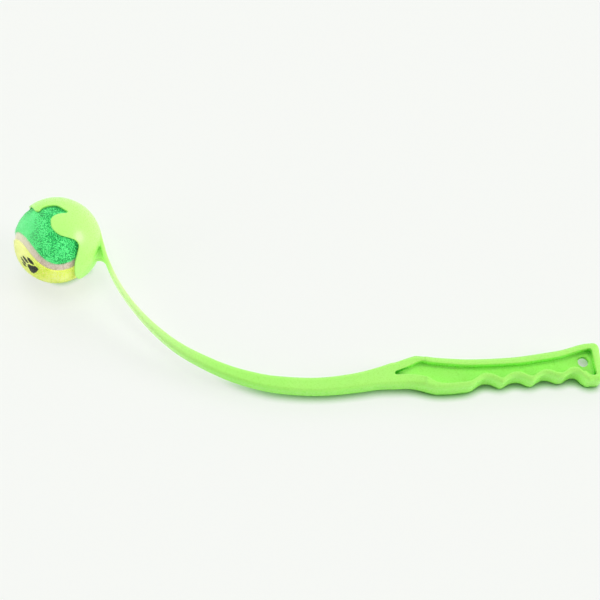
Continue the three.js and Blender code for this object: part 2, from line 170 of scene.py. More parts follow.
# Handle edges: share of the length, share of the depth above the belly
BACK_SHARES = [
    (0, 0.901), (0.053, 1.022), (0.078, 1.072), (0.102, 1.109), (0.126, 1.092), (0.15, 1.069),
    (0.197, 1.025), (0.269, 0.992), (0.342, 0.97), (0.414, 0.975), (0.511, 1.002), (0.608, 1.055),
    (0.706, 1.153), (0.804, 1.259), (0.854, 1.346), (0.903, 1.442), (0.928, 1.479), (0.957, 1.5),
    (1, 1.515),
]
BELLY_SHARES = [
    (0, 0.142), (0.03, 0.15), (0.065, 0.155), (0.09, 0.146), (0.114, 0.121), (0.151, 0.068), (0.174, 0.032),
    (0.195, -0.002), (0.223, -0.004), (0.271, 0.009), (0.32, 0.042), (0.352, 0.069), (0.369, 0.104),
    (0.394, 0.212), (0.42, 0.31), (0.444, 0.335), (0.468, 0.31), (0.491, 0.245), (0.515, 0.189),
    (0.541, 0.291), (0.566, 0.363), (0.59, 0.383), (0.614, 0.356), (0.638, 0.281), (0.662, 0.255),
    (0.687, 0.356), (0.712, 0.442), (0.737, 0.451), (0.761, 0.409), (0.784, 0.356), (0.808, 0.36),
    (0.834, 0.468), (0.86, 0.528), (0.883, 0.498), (0.905, 0.363), (0.928, 0.255), (0.953, 0.264),
    (1, 0.262),
]
HANDLE_WIDTH_SHARES = [(0, 0.735), (0.05, 0.745), (0.1, 0.8), (0.149, 0.92), (0.188, 1), (1, 1)]

# Walls on both sides of the pocket: share of the length, share of the back wall and of the belly wall
BACK_WALL_SHARES = [
    (0, 1.42), (0.055, 1.39), (0.09, 1.28), (0.116, 1), (0.131, 0.81), (0.15, 0.82), (0.17, 0.87),
    (0.22, 0.88), (0.33, 0.95), (0.512, 0.99), (0.659, 1.07), (0.807, 1.05), (0.93, 0.94), (1, 0.84),
]
BELLY_WALL_SHARES = [
    (0, 2.03), (0.13, 1.98), (0.158, 1.85), (0.19, 1.42), (0.21, 1.2), (0.3, 0.96), (0.86, 1), (0.89, 1.4),
    (0.917, 1.54), (0.936, 1.2), (0.955, 0.98), (1, 1),
]
POCKET_END_SHARE = 0.966
HOLE_SHARES = (0.916, 0.959)

# Marks of the ejector pins on the web of the handle, as shares of its length and depth
EJECTOR_SHARES = [(0.124, 0.665), (0.297, 0.536), (0.456, 0.647), (0.614, 0.739), (0.766, 0.886)]
EJECTOR_DIAMETER = 3.4
EJECTOR_DEPTH = 0.22
WEB_SKIN = 0.3


# Curves


def knots(points, closed):
    """The four points that shape each stretch of a smooth curve."""
    points = np.asarray(points, float)
    if closed:
        ring = np.vstack([points[-1:], points, points[:2]])
    else:
        ring = np.vstack([2 * points[:1] - points[1:2], points, 2 * points[-1:] - points[-2:-1]])
    return ring


def smooth_through(points, shares, closed=False, even=True):
    """Smooth curve through points, read at shares of its stretches."""
    ring = knots(points, closed)
    stretches = len(ring) - 3
    place = np.clip(np.asarray(shares, float), 0, 1) * stretches
    start = np.minimum(place.astype(int), stretches - 1)
    t = (place - start)[:, None]
    p0, p1, p2, p3 = (ring[start + i] for i in range(4))
    if even:
        leave, arrive = (p2 - p0) / 2, (p3 - p1) / 2
    else:
        gap0, gap1, gap2 = (
            np.sqrt(np.linalg.norm(b - a, axis=1, keepdims=True)) for a, b in ((p0, p1), (p1, p2), (p2, p3))
        )
        leave = ((p1 - p0) / gap0 - (p2 - p0) / (gap0 + gap1) + (p2 - p1) / gap1) * gap1
        arrive = ((p2 - p1) / gap1 - (p3 - p1) / (gap1 + gap2) + (p3 - p2) / gap2) * gap1
    return (
        (2 * t**3 - 3 * t**2 + 1) * p1 + (t**3 - 2 * t**2 + t) * leave
        + (3 * t**2 - 2 * t**3) * p2 + (t**3 - t**2) * arrive
    )


def smooth_table(rows):
    """Reads the second number of a table at any first number, along a smooth curve."""
    curve = smooth_through(rows, np.linspace(0, 1, len(rows) * 60))
    return lambda x: np.interp(x, curve[:, 0], curve[:, 1])


back_table = smooth_table(BACK_SHARES)
belly_table = smooth_table(BELLY_SHARES)
handle_width_table = smooth_table(HANDLE_WIDTH_SHARES)
back_wall_table = smooth_table(BACK_WALL_SHARES)
belly_wall_table = smooth_table(BELLY_WALL_SHARES)


def back_height(share):
    return HANDLE_DEPTH * back_table(share) - HANDLE_DROP


def belly_height(share):
    return HANDLE_DEPTH * belly_table(share) - HANDLE_DROP


def along_handle(share):
    return HANDLE_START + np.asarray(share) * HANDLE_LENGTH


def polar(angle, radius):
    return np.array([math.cos(math.radians(angle)), math.sin(math.radians(angle)), 0]) * radius


# Meshes


def mesh_object(name, points, faces):
    mesh = bpy.data.meshes.new(name)
    mesh.from_pydata(np.asarray(points, float).tolist(), [], [tuple(int(i) for i in f) for f in faces])
    mesh.update()
    obj = bpy.data.objects.new(name, mesh)
    bpy.context.collection.objects.link(obj)
    return obj


def point_array(mesh):
    flat = np.empty(3 * len(mesh.vertices))
    mesh.vertices.foreach_get("co", flat)
    return flat.reshape(-1, 3)


def set_points(mesh, points):
    mesh.vertices.foreach_set("co", np.ascontiguousarray(points, float).ravel())
    mesh.update()


def finished(obj):
    """Applies an object's modifiers to its mesh."""
    graph = bpy.context.evaluated_depsgraph_get()
    mesh = bpy.data.meshes.new_from_object(obj.evaluated_get(graph))
    old = obj.data
    obj.modifiers.clear()
    obj.data = mesh
    bpy.data.meshes.remove(old)
    return obj


def combine(body, *others, how="UNION"):
    """Joins other solids to a body, or cuts them out of it, and removes them."""
    for other in others:
        step = body.modifiers.new(how, "BOOLEAN")
        step.operation = how
        step.solver = "MANIFOLD"
        step.object = other
    finished(body)
    for other in others:
        bpy.data.objects.remove(other)
    return body


# Moulded body


def strap_ribs(steps):
    """Ribs from inside the wall of the cup to the start of the handle."""
    neck = polar(NECK_ANGLE, CUP_OUTER - NECK_DEPTH / 2)
    root = polar(NECK_ANGLE + ROOT_ANGLE, CUP_OUTER - NECK_DEPTH / 2 - ROOT_SINK)
    end = np.array([HANDLE_START, (back_height(0) + belly_height(0)) / 2, 0])
    run, fall = end[0] - neck[0], BOW_DEPTH + neck[1]
    places = [neck + (x * run, -y * fall, 0) for x, y, _, _ in STRAP_SHARES]
    spine = np.array([root, neck, *places, end])
    sizes = [(NECK_DEPTH, NECK_WIDTH)] * 2
    for _, _, depth, width in STRAP_SHARES:
        sizes.append((
            NECK_DEPTH + depth * (STRAP_DEPTH - NECK_DEPTH),
            NECK_WIDTH + width * (STRAP_WIDTH - NECK_WIDTH),
        ))
    sizes.append((back_height(0) - belly_height(0), HANDLE_WIDTH * handle_width_table(0)))
    shares = np.arange(steps) / steps
    centre = smooth_through(spine, shares)
    ahead = smooth_through(spine, shares + 1e-4) - smooth_through(spine, shares - 1e-4)
    ahead /= np.linalg.norm(ahead, axis=1, keepdims=True)
    up = np.stack([-ahead[:, 1], ahead[:, 0], np.zeros(steps)], axis=1)
    size = smooth_through(sizes, shares)
    rounding = np.minimum(STRAP_ROUND, size[:, 0] * STRAP_ROUND_SHARE)
    return centre, up, size[:, 0] / 2, size[:, 1] / 2, rounding


def handle_ribs(steps, round_steps):
    """Ribs of the handle, drawn in round the butt."""
    round_start = 1 - BUTT_ROUND / HANDLE_LENGTH
    turn = np.linspace(0, math.pi / 2, round_steps + 1)
    share = np.concatenate([
        np.arange(steps) / steps * round_start,
        round_start + (1 - round_start) * np.sin(turn),
    ])
    drawn_in = np.concatenate([np.zeros(steps), 1 - np.cos(turn)])
    flat = np.zeros(len(share))
    back = np.stack([along_handle(share) - share * BUTT_LEAN, back_height(share), flat], axis=1)
    belly = np.stack([along_handle(share), belly_height(share), flat], axis=1)
    depth = np.linalg.norm(back - belly, axis=1)
    up = (back - belly) / depth[:, None]
    half_width = HANDLE_WIDTH * handle_width_table(share) / 2 - drawn_in * HANDLE_ROUND
    rounding = HANDLE_ROUND * (1 + (BUTT_EDGE_SHARE - 1) * drawn_in)
    return (back + belly) / 2, up, depth / 2 - drawn_in * BUTT_ROUND, half_width, rounding


def arm_solid():
    """Strap and handle as one loft of rounded ribs."""
    strap, handle = strap_ribs(STRAP_STEPS), handle_ribs(HANDLE_STEPS, BUTT_STEPS)
    centre, up, half_depth, half_width, rounding = (np.concatenate(pair) for pair in zip(strap, handle))
    across = np.array([0, 0, 1.0])
    rings = []
    for corner in range(4):
        up_side = 1 if corner in (0, 3) else -1
        wide_side = 1 if corner < 2 else -1
        for i in range(EDGE_STEPS + 1):
            turn = (corner + i / EDGE_STEPS) * math.pi / 2
            height = up_side * (half_depth - rounding) + rounding * math.cos(turn)
            width = wide_side * (half_width - rounding) + rounding * math.sin(turn)
            rings.append(centre + up * height[:, None] + across * width[:, None])
    rings = np.stack(rings, axis=1)
    count, sides = rings.shape[:2]
    faces = [tuple(range(sides - 1, -1, -1)), tuple(range((count - 1) * sides, count * sides))]
    for k in range(count - 1):
        for i in range(sides):
            here, beside = k * sides + i, k * sides + (i + 1) % sides
            faces.append((here, beside, beside + sides, here + sides))
    return mesh_object("arm", rings.reshape(-1, 3), faces)


def plate_solid(name, outline, low, high):
    """Flat plate with a counter-clockwise outline, from one height to another across the width."""
    count = len(outline)
    points = [(x, y, low) for x, y in outline] + [(x, y, high) for x, y in outline]
    faces = [tuple(range(count - 1, -1, -1)), tuple(range(count, 2 * count))]
    faces += [(i, (i + 1) % count, (i + 1) % count + count, i + count) for i in range(count)]
    return mesh_object(name, points, faces)


def gusset_solid():
    """Plate between the strap and the back of the cup, ending in a round that touches both."""
    centre, up, half_depth, _, _ = strap_ribs(2000)
    round_centre = centre - up * (half_depth + GUSSET_ROUND)[:, None]
    short = np.linalg.norm(round_centre, axis=1) - CUP_OUTER - GUSSET_ROUND
    touch = int(np.argmax((short[1:] >= 0) & (short[:-1] < 0))) + 1
    middle = round_centre[touch]
    strap_turn = math.atan2(up[touch][1], up[touch][0])
    cup_turn = math.atan2(-middle[1], -middle[0])
    if cup_turn < strap_turn:
        cup_turn += 2 * math.pi
    outline = [
        middle[:2] + GUSSET_ROUND * np.array([math.cos(turn), math.sin(turn)])
        for turn in np.linspace(strap_turn, cup_turn, 32)
    ]
    outline.append(middle[:2] / np.linalg.norm(middle) * (CUP_OUTER - CUP_WALL / 2))
    top = int(np.argmax(centre[:, 1] < polar(NECK_ANGLE, CUP_OUTER)[1]))
    outline += [centre[i][:2] for i in range(top, touch, 20)]
    return plate_solid("gusset", outline, -GUSSET_WIDTH / 2, GUSSET_WIDTH / 2)


def pocket_outline():
    """Outline of the pocket, a wall's width inside the handle, with rounded corners at both ends."""
    length = POCKET_END_SHARE * HANDLE_LENGTH
    corner = 1 - np.cos(np.linspace(0, math.pi / 2, POCKET_CORNER_STEPS)[:-1])
    run = np.concatenate([
        POCKET_TIP_ROUND * corner,
        np.linspace(POCKET_TIP_ROUND, length - POCKET_END_ROUND, POCKET_STEPS),
        length - POCKET_END_ROUND * corner[::-1],
    ])
    drawn_in = 0
    for inward, radius in ((run, POCKET_TIP_ROUND), (length - run, POCKET_END_ROUND)):
        drawn_in += radius - np.sqrt(radius**2 - np.clip(radius - inward, 0, radius) ** 2)
    share = run / HANDLE_LENGTH
    x = along_handle(share)
    top = back_height(share) - BACK_WALL * back_wall_table(share) - drawn_in
    bottom = belly_height(share) + BELLY_WALL * belly_wall_table(share) + drawn_in
    return list(zip(x, bottom)) + list(zip((x - share * POCKET_LEAN)[::-1], top[::-1]))


def hole_centre():
    return np.array([along_handle(HOLE_SHARES[0]), HANDLE_DEPTH * HOLE_SHARES[1] - HANDLE_DROP, 0])


def hole_solid():
    turns = np.linspace(0, 2 * math.pi, HOLE_SIDES, endpoint=False)
    x, y, _ = hole_centre()
    outline = [(x + HOLE_DIAMETER / 2 * math.cos(t), y + HOLE_DIAMETER / 2 * math.sin(t)) for t in turns]
    return plate_solid("hang_hole", outline, -WEB_THICKNESS, WEB_THICKNESS)


MOUTH_AXIS = -polar(MOUTH_ANGLE, 1)
TOP_CLAW_WAY = np.cross(MOUTH_AXIS, (0, 0, 1))


def round_mouth(around, away, side=1):
    """Direction from the centre of the cup, by its two angles at the mouth."""
    around, away = math.radians(around), math.radians(away)
    spread = TOP_CLAW_WAY * math.cos(around) + np.array([0, 0, side * math.sin(around)])
    return MOUTH_AXIS * math.cos(away) + spread * math.sin(away)


def sphere_solid(name, radius):
    """Sphere round the centre of the cup, with its poles on the mouth's axis."""
    mesh = bpy.data.meshes.new(name)
    build = bmesh.new()
    turn = Vector((0, 0, 1)).rotation_difference(Vector(MOUTH_AXIS)).to_matrix().to_4x4()
    bmesh.ops.create_uvsphere(
        build, u_segments=CUP_SIDES, v_segments=CUP_SIDES // 2, radius=radius, matrix=turn
    )
    build.to_mesh(mesh)
    build.free()
    obj = bpy.data.objects.new(name, mesh)
    bpy.context.collection.objects.link(obj)
    return obj


def cone_solid(name, ways, middle):
    """Cone from the centre of the cup through a closed loop of directions, well past the cup."""
    far = 6 * CUP_OUTER
    loop = smooth_through(ways, np.arange(RIM_STEPS) / RIM_STEPS, closed=True, even=False)
    loop /= np.linalg.norm(loop, axis=1, keepdims=True)
    points = np.vstack([[0, 0, 0], middle * far, loop * far])
    faces = []
    for i in range(len(loop)):
        here, beside = 2 + i, 2 + (i + 1) % len(loop)
        faces += [(0, beside, here), (1, here, beside)]
    return mesh_object(name, points, faces)


def cup_cutters():
    one_side = [round_mouth(*row) for row in MOUTH_RIM]
    other_side = [round_mouth(*row, side=-1) for row in MOUTH_RIM[1:-1]]
    yield cone_solid("mouth", other_side + one_side[::-1], MOUTH_AXIS)
    for side in (1, -1):
        ways = [round_mouth(*row, side=side) for row in SLIT_RIM]
        if side > 0:
            ways.reverse()
        yield cone_solid("slit", ways, round_mouth(*SLIT_MIDDLE, side=side))


def moulded_body():
    """The thrower as one moulding: its solids joined, then skinned over so that every edge is soft."""
    depth = HANDLE_WIDTH / 2 + OVERRUN
    pockets = [
        plate_solid("pocket", pocket_outline(), WEB_THICKNESS / 2, depth),
        plate_solid("pocket", pocket_outline(), -depth, -WEB_THICKNESS / 2),
    ]
    arm = combine(arm_solid(), *pockets, hole_solid(), how="DIFFERENCE")
    cup = combine(sphere_solid("cup", CUP_OUTER), *cup_cutters(), how="DIFFERENCE")
    body = combine(cup, arm, gusset_solid())
    combine(body, sphere_solid("ball_space", CUP_INNER), how="DIFFERENCE")
    skin = body.modifiers.new("skin", "REMESH")
    skin.mode = "VOXEL"
    skin.voxel_size = SKIN_STEP
    relax = body.modifiers.new("relax", "SMOOTH")
    relax.factor = 0.5
    relax.iterations = SKIN_RELAX
    return finished(body)


def true_cup(points):
    """Puts the broad inner and outer faces of the cup back on their spheres."""
    radius = np.linalg.norm(points, axis=1)
    near = points[:, 0] < CUP_OUTER + 1
    for true_radius in (CUP_OUTER, CUP_INNER):
        on_face = near & (np.abs(radius - true_radius) < SKIN_STEP / 3)
        points[on_face] *= (true_radius / radius[on_face])[:, None]
    return points


def press_ejector_marks(points):
    """Sinks the round mark of each ejector pin a little into the faces of the web."""
    on_web = np.abs(np.abs(points[:, 2]) - WEB_THICKNESS / 2) < WEB_SKIN
    for along, up in EJECTOR_SHARES:
        centre = np.array([along_handle(along), HANDLE_DEPTH * up - HANDLE_DROP])
        away = np.linalg.norm(points[:, :2] - centre, axis=1)
        sunk = np.clip((EJECTOR_DIAMETER / 2 - away) / SKIN_STEP + 0.5, 0, 1) * EJECTOR_DEPTH
        points[on_web, 2] -= (np.sign(points[:, 2]) * sunk)[on_web]
    return points


# Where the thrower lies: its record gives a point and the normal of the web of its handle


def resting_place():
    mount = next(m for m in frame["record"]["mounts"] if m["name"] == "hang_web")
    web_up = Vector(mount["axis"])
    table_up = Vector((-web_up.x, -web_up.y, web_up.z))
    turn = table_up.rotation_difference(Vector((0, 0, 1))).to_matrix()
    on_web = Vector(hole_centre() + (-HOLE_DIAMETER, 0, WEB_THICKNESS / 2))
    shift = Vector(mount["pos_m"]) - turn @ on_web * MM
    return Matrix.Translation(shift) @ turn.to_4x4() @ Matrix.Scale(MM, 4)


on_table = resting_place()


def laid(obj, place):
    obj.data.transform(place)
    obj.data.update()
    return obj


def shade_smooth(obj):
    obj.data.polygons.foreach_set("use_smooth", [True] * len(obj.data.polygons))
    return obj


body = moulded_body()
set_points(body.data, press_ejector_marks(true_cup(point_array(body.data))))
body.name = body.data.name = "moulded_thrower"
laid(shade_smooth(body), on_table)

# Ball


def ball_place():
    """Axes and middle of the ball, seated against the back of the cup."""
    z = SEAM_Z.normalized()
    y = z.cross(SEAM_X).normalized()
    x = y.cross(z)
    axes = Matrix((x, y, z)).transposed()
    way_out = Vector(frame["joints"][0]["axis"]).normalized()
    middle = on_table.translation + way_out * (SEAT_GAP - CUP_CLEARANCE) * MM
    turn = on_table.to_3x3().normalized() @ axes
    return Matrix.Translation(middle) @ turn.to_4x4() @ Matrix.Scale(MM, 4)


ball_at = ball_place()


def seam_point(turn):
    """Seam on the unit sphere: it swings to both sides of a circle and runs a little unevenly round it."""
    rise = math.radians(SEAM_SWING) * np.sin(2 * turn)
    along = turn - math.radians(SEAM_DRIFT) * np.sin(4 * turn)
    return np.stack([np.cos(rise) * np.cos(along), np.cos(rise) * np.sin(along), np.sin(rise)], axis=-1)


def unit(rows):
    return rows / np.linalg.norm(rows, axis=-1, keepdims=True)


def seam_line(steps):
    """Points of the seam on the unit sphere, and the way to the yellow side at each."""
    turns = np.linspace(0, 2 * math.pi, steps, endpoint=False)
    points = seam_point(turns)
    ahead = seam_point(turns + 1e-4) - seam_point(turns - 1e-4)
    return points, unit(np.cross(points, ahead))


def from_seam(ways):
    """Distance of directions from the middle of the seam over the ball, in millimetres, and its way there."""
    points, sideways = seam_line(SEAM_FINE_STEPS)
    tree = kdtree.KDTree(len(points))
    for i, point in enumerate(points):
        tree.insert(point, i)
    tree.balance()
    nearest = np.array([tree.find(way)[1] for way in ways])
    distance = np.einsum("ij,ij->i", ways, sideways[nearest])
    return np.arcsin(np.clip(distance, -1, 1)) * BALL_RADIUS, points[nearest], sideways[nearest]


def ball_grid(subdivisions):
    """Points and triangles of a finely divided unit sphere."""
    build = bmesh.new()
    bmesh.ops.create_icosphere(build, subdivisions=subdivisions, radius=1)
    points = np.array([v.co for v in build.verts])
    faces = np.array([[v.index for v in f.verts] for f in build.faces])
    build.free()
    return unit(points), faces


def lumps(ways, size, seed):
    """Soft lumps of a size in millimetres, from about -1 to 1, at directions on the ball."""
    shift = Vector((seed * 7.3, seed * 3.1, seed * 5.7))
    scale = BALL_RADIUS / size
    return np.array([noise.noise(Vector(way) * scale + shift) for way in ways])


def felt_panel(name, side, ways, faces, distance, near_points, near_ways):
    """One dumb-bell panel of felt, its edge rolled down into the seam."""
    edge = SEAM_WIDTH / 2 + FELT_GAP
    inside_by = side * distance - edge
    kept = faces[(inside_by[faces] > 0).any(axis=1)]
    used, kept = np.unique(kept, return_inverse=True)
    kept = kept.reshape(-1, 3)
    ways, inside_by = ways[used].copy(), inside_by[used]
    out = inside_by <= 0
    turn = edge / BALL_RADIUS
    ways[out] = unit(near_points[used][out] * math.cos(turn) + near_ways[used][out] * side * math.sin(turn))
    inside_by[out] = 0
    roll = np.clip(FELT_EDGE_ROUND - inside_by, 0, FELT_EDGE_ROUND)
    drop = FELT_EDGE_ROUND - np.sqrt(FELT_EDGE_ROUND**2 - roll**2)
    nap = sum(height * lumps(ways, size, seed + side) for height, size, seed in FELT_LUMPS)
    outer = ways * (BALL_RADIUS - drop + nap * (1 - drop / FELT_EDGE_ROUND))[:, None]
    inner = ways * (BALL_RADIUS - FELT_THICKNESS)
    count = len(ways)
    edges = np.sort(np.concatenate([kept[:, [0, 1]], kept[:, [1, 2]], kept[:, [2, 0]]]), axis=1)
    pairs, times = np.unique(edges, axis=0, return_counts=True)
    open_pairs = {tuple(pair) for pair in pairs[times == 1]}
    walls = []
    for a, b, c in kept:
        for here, beside in ((a, b), (b, c), (c, a)):
            if (min(here, beside), max(here, beside)) in open_pairs:
                walls.append((beside, here, here + count, beside + count))
    all_faces = kept.tolist() + (kept[:, ::-1] + count).tolist() + walls
    return shade_smooth(laid(mesh_object(name, np.vstack([outer, inner]), all_faces), ball_at))


def seam_strip():
    """Rubber in the seam: a low crowned strip whose sides run under the felt."""
    points, sideways = seam_line(SEAM_STEPS)
    half = SEAM_WIDTH / 2 + 2 * FELT_GAP
    top = BALL_RADIUS - SEAM_RECESS
    bottom = BALL_RADIUS - FELT_THICKNESS
    places = [2 * i / SEAM_ACROSS - 1 for i in range(SEAM_ACROSS + 1)]
    profile = [(half * place, top - SEAM_CROWN * place**2) for place in places]
    profile += [(half, bottom), (-half, bottom)]
    rings = []
    for offset, radius in profile:
        turn = offset / BALL_RADIUS
        ring = unit(points * math.cos(turn) + sideways * math.sin(turn))
        grain = np.zeros(SEAM_STEPS)
        if radius > bottom:
            grain = lumps(ring, SEAM_GRAIN_SIZE, SEAM_GRAIN_SEED) * SEAM_GRAIN_HEIGHT
        rings.append(ring * (radius + grain)[:, None])
    rings = np.stack(rings, axis=1)
    sides = rings.shape[1]
    faces = []
    for k in range(SEAM_STEPS):
        for i in range(sides):
            here, beside = k * sides + i, k * sides + (i + 1) % sides
            ahead = (k + 1) % SEAM_STEPS * sides
            faces.append((here, ahead + i, ahead + (i + 1) % sides, beside))
    return shade_smooth(laid(mesh_object("seam_strip", rings.reshape(-1, 3), faces), ball_at))


def in_mouth(points):
    """How far points on the ball lie clear of the cup's rim: 1 in the open mouth, 0 under the cup."""
    mouth = (ball_at.to_3x3().normalized().inverted() @ on_table.to_3x3().normalized()) @ Vector(MOUTH_AXIS)
    away = np.degrees(np.arccos(np.clip(unit(points) @ np.array(mouth), -1, 1)))
    return np.clip((OPEN_MOUTH_ANGLE - away) / OPEN_MOUTH_FADE, 0, 1)


def felt_nap(name, side, seed):
    """Short curled fibres that stand out of one felt panel."""
    rng = np.random.RandomState(seed)
    ways = unit(rng.normal(size=(NAP_COUNT * 3, 3)))
    distance, _, _ = from_seam(ways)
    ways = ways[side * distance > SEAM_WIDTH / 2 + 0.1][:NAP_COUNT]
    count = len(ways)
    flat = unit(np.cross(ways, rng.normal(size=(count, 3))))
    length = rng.uniform(*NAP_LENGTH, count)
    rise = rng.uniform(*NAP_RISE, count) + rng.uniform(0, NAP_RISE_IN_MOUTH, count) * in_mouth(ways)
    width = rng.uniform(*NAP_HALF_WIDTH, count)
    curl = unit(np.cross(ways, flat)) * (rng.uniform(-NAP_CURL, NAP_CURL, count) * length)[:, None]
    thick = unit(np.cross(flat, ways + rng.normal(size=(count, 3)) * 0.8))
    stops = (0, 0.5, 1)
    lifts = (-0.15, 1, 0.55)
    rows = []
    for stop, lift in zip(stops, lifts):
        middle = ways * (BALL_RADIUS + rise * lift)[:, None] + flat * (length * (stop - 0.5))[:, None]
        middle += curl * (4 * stop * (1 - stop))
        half = thick * (width * (1.05 - 0.75 * stop))[:, None]
        rows += [middle - half, middle + half]
    points = np.stack(rows, axis=1).reshape(-1, 3)
    base = np.arange(count)[:, None] * 6
    faces = np.concatenate([base + (0, 1, 3, 2), base + (2, 3, 5, 4)])
    return shade_smooth(laid(mesh_object(name, points, faces), ball_at))


grid_ways, grid_faces = ball_grid(FELT_SUBDIVISIONS)
grid_seam = from_seam(grid_ways)
green_felt = felt_panel("green_felt_panel", -1, grid_ways, grid_faces, *grid_seam)
yellow_felt = felt_panel("yellow_felt_panel", 1, grid_ways, grid_faces, *grid_seam)
green_nap = felt_nap("green_felt_nap", -1, 11)
yellow_nap = felt_nap("yellow_felt_nap", 1, 12)
seam = seam_strip()

# Finishes


class Finish:
    """A material or node group under way: adds nodes, sets their plain values and links the rest."""

    def __init__(self, tree):
        self.tree = tree

    def add(self, kind, settings=None, **inputs):
        node = self.tree.nodes.new(kind)
        for key, value in (settings or {}).items():
            setattr(node, key, value)
        for key, value in inputs.items():
            name = key.replace("_", " ")
            self.feed(node, int(key[1:]) if key[0] == "i" and key[1:].isdigit() else name, value)
        return node

    def feed(self, node, name, value):
        socket = node.inputs[name]
        if isinstance(value, bpy.types.NodeSocket):
            self.tree.links.new(value, socket)
        else:
            socket.default_value = value

    def math(self, operation, first, second=0.0, third=0.0):
        node = self.add("ShaderNodeMath", {"operation": operation}, i0=first, i1=second, i2=third)
        return node.outputs[0]

    def vector(self, operation, first, second=(0, 0, 0)):
        node = self.add("ShaderNodeVectorMath", {"operation": operation}, i0=first, i1=second)
        return node.outputs["Value" if operation in ("DOT_PRODUCT", "LENGTH") else "Vector"]

    def noise(self, place, size, detail=2.0, rough=0.5):
        """Noise with lumps of a size in metres."""
        node = self.add(
            "ShaderNodeTexNoise", None, Vector=place, Scale=1 / size, Detail=detail, Roughness=rough
        )
        return node.outputs["Fac"]

    def spread(self, value, low, high, to_low=0.0, to_high=1.0):
        node = self.add("ShaderNodeMapRange", None, Value=value)
        for name, number in zip(("From Min", "From Max", "To Min", "To Max"), (low, high, to_low, to_high)):
            self.feed(node, name, number)
        return node.outputs["Result"]

    def blend(self, share, first, second):
        node = self.add("ShaderNodeMix", {"data_type": "RGBA"})
        for name, value in (("Factor_Float", share), ("A_Color", first), ("B_Color", second)):
            socket = next(s for s in node.inputs if s.identifier == name)
            if isinstance(value, bpy.types.NodeSocket):
                self.tree.links.new(value, socket)
            else:
                socket.default_value = value
        return next(s for s in node.outputs if s.identifier == "Result_Color")


def colour(red, green, blue):
    """Linear colour from the 0 to 255 steps of a screen colour."""
    def linear(step):
        step /= 255
        return step / 12.92 if step <= 0.04045 else ((step + 0.055) / 1.055) ** 2.4
    return (linear(red), linear(green), linear(blue), 1)


# Lime plastic: two melt tones; painted shade on steep walls, web, deep corners; painted light on thin cup, neck
LIME_MELT = (colour(168, 252, 106), colour(184, 255, 124))
LIME_PAINTED_WALL_SHADE = colour(142, 255, 68)
LIME_PAINTED_THIN_LIGHT = colour(186, 255, 128)
LIME_PAINTED_NECK_LIGHT = colour(214, 255, 168)
LIME_PAINTED_DEEP_SHADE = colour(44, 186, 0)

# Felts: dark, middle and light fibre, painted light on the lit side of the ball, and painted shade under a claw
GREEN_FIBRE = (colour(6, 130, 56), colour(62, 222, 114), colour(120, 254, 158))
GREEN_PAINTED_LIGHT = colour(126, 255, 160)
GREEN_SHADED = colour(10, 84, 36)
YELLOW_FIBRE = (colour(206, 226, 64), colour(238, 255, 114), colour(252, 255, 168))
YELLOW_PAINTED_LIGHT = colour(252, 255, 176)
YELLOW_SHADED = colour(112, 116, 24)
INK = (colour(20, 26, 8), colour(78, 84, 70))

# Rubbers: dark, middle and light grain, and the seam's painted light on the lit side of the ball
SEAM_GRAIN = (colour(206, 186, 166), colour(238, 218, 198), colour(248, 236, 220))
SEAM_PAINTED_LIGHT = colour(252, 252, 220)
CORE_GRAIN = (colour(52, 52, 48), colour(70, 70, 66), colour(92, 92, 88))

# Table: two near whites of its grain, and a painted green shade close under the object
TABLE_WHITE = (colour(246, 248, 245), colour(247, 249, 245))
TABLE_PAINTED_GREEN_SHADE = colour(100, 198, 30)
BLACK = (0, 0, 0, 1)

# Painted glow: light of its own given to the plastic, in the thin cup and on steep walls, and to the whole felt
LIME_PAINTED_GLOW = 0.2
FELT_PAINTED_GLOW = 0.26


def effect_group(name, inputs, outputs):
    """Empty node group with named inputs, each with its first value, and named outputs."""
    tree = bpy.data.node_groups.new(name, "ShaderNodeTree")
    kinds = {float: "NodeSocketFloat", tuple: "NodeSocketColor", Vector: "NodeSocketVector"}
    for key, value in inputs.items():
        socket = tree.interface.new_socket(key, in_out="INPUT", socket_type=kinds[type(value)])
        socket.default_value = value
    for key, kind in outputs.items():
        tree.interface.new_socket(key, in_out="OUTPUT", socket_type=kinds[kind])
    source = tree.nodes.new("NodeGroupInput")
    target = tree.nodes.new("NodeGroupOutput")
    return Finish(tree), source.outputs, target


def speckle_effect():
    """Fine speckle over a slow drift of tone, as matted fibre or filled rubber shows."""
    fit, given, out = effect_group(
        "speckle",
        {"Place": Vector(), "Grain Size": 0.001, "Drift Size": 0.008, "Contrast": 1.0,
         "Dark": (0.0, 0.0, 0.0, 1.0), "Middle": (0.5, 0.5, 0.5, 1.0), "Light": (1.0, 1.0, 1.0, 1.0)},
        {"Color": tuple, "Height": float},
    )
    per_grain = fit.math("DIVIDE", 1.0, given["Grain Size"])
    per_drift = fit.math("DIVIDE", 1.0, given["Drift Size"])
    grain = fit.add(
        "ShaderNodeTexNoise", None, Vector=given["Place"], Scale=per_grain, Detail=3.0, Roughness=0.62
    ).outputs["Fac"]
    drift = fit.add(
        "ShaderNodeTexNoise", None, Vector=given["Place"], Scale=per_drift, Detail=1.0
    ).outputs["Fac"]
    shifted = fit.math("ADD", grain, fit.math("MULTIPLY_ADD", drift, 0.35, -0.175))
    tone = fit.math("MULTIPLY", fit.math("SUBTRACT", shifted, 0.5), given["Contrast"])
    down = fit.spread(tone, 0.0, -0.16)
    up = fit.spread(tone, 0.0, 0.16)
    toned = fit.blend(down, given["Middle"], given["Dark"])
    fit.feed(out, "Color", fit.blend(up, toned, given["Light"]))
    fit.feed(out, "Height", shifted)
    return fit.tree


